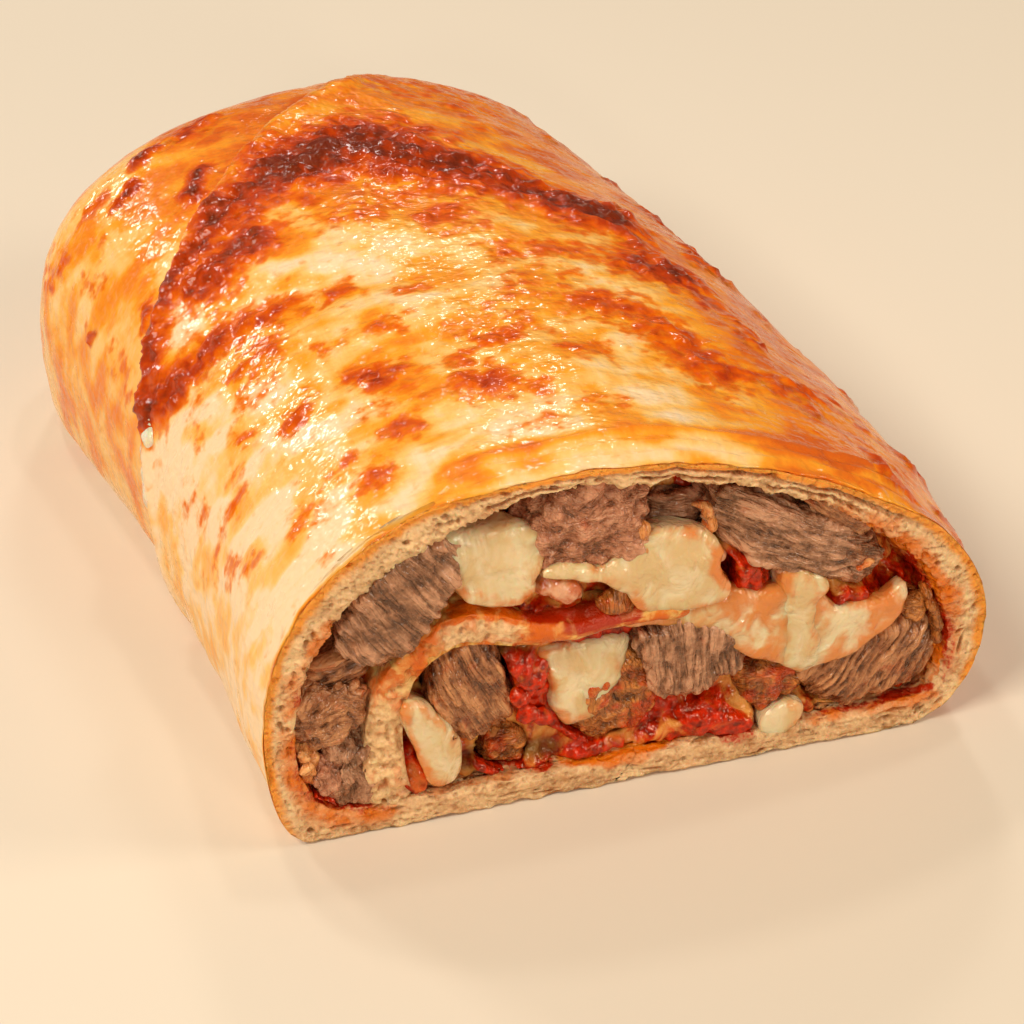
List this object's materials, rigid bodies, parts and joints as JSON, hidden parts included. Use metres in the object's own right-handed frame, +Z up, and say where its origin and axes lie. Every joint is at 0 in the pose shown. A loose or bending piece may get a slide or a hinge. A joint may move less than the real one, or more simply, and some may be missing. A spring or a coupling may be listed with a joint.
{
  "type": "stromboli",
  "caption": "Half of a baked stromboli, cut once across, with beef, melted cheese and tomato sauce showing at the cut.",
  "frame": {"origin": "centre of the footprint, on the surface it rests on", "axes": "+Z up, +Y along the roll from the cut towards the closed end, +X to the right of the cut face"},
  "size_m": [0.1602, 0.1982, 0.0767],
  "materials": {
    "crust": "glossy golden baked dough, browned and blistered; beige crumb at the cut",
    "sauce": "wet oily tomato sauce mixed with cheese",
    "beef": "cooked beef with visible fibres, moist",
    "cheese": "melted mozzarella, glossy and pale",
    "onion": "soft cooked onion, glazed"
  },
  "bodies": {
    "root": {"dough": "crust", "filling": "sauce", "beef_top_left": "beef", "beef_top_middle": "beef", "beef_top_back": "beef", "beef_top_right": "beef", "beef_right_upper": "beef", "beef_left_upper": "beef", "beef_left_middle": "beef", "beef_left_fat": "beef", "beef_left_small": "beef", "beef_left_lower": "beef", "beef_low_left": "beef", "beef_low_small": "beef", "beef_low_round": "beef", "beef_low_middle": "beef", "beef_low_glazed": "beef", "beef_low_right": "beef", "beef_edge_upper": "beef", "cheese_top_left": "cheese", "cheese_top_middle": "cheese", "cheese_right_fall": "cheese", "cheese_low_middle": "cheese", "cheese_low_left": "cheese", "cheese_low_right": "cheese", "onion_left": "onion", "onion_orange": "onion", "onion_right": "onion"}
  },
  "joints": []
}
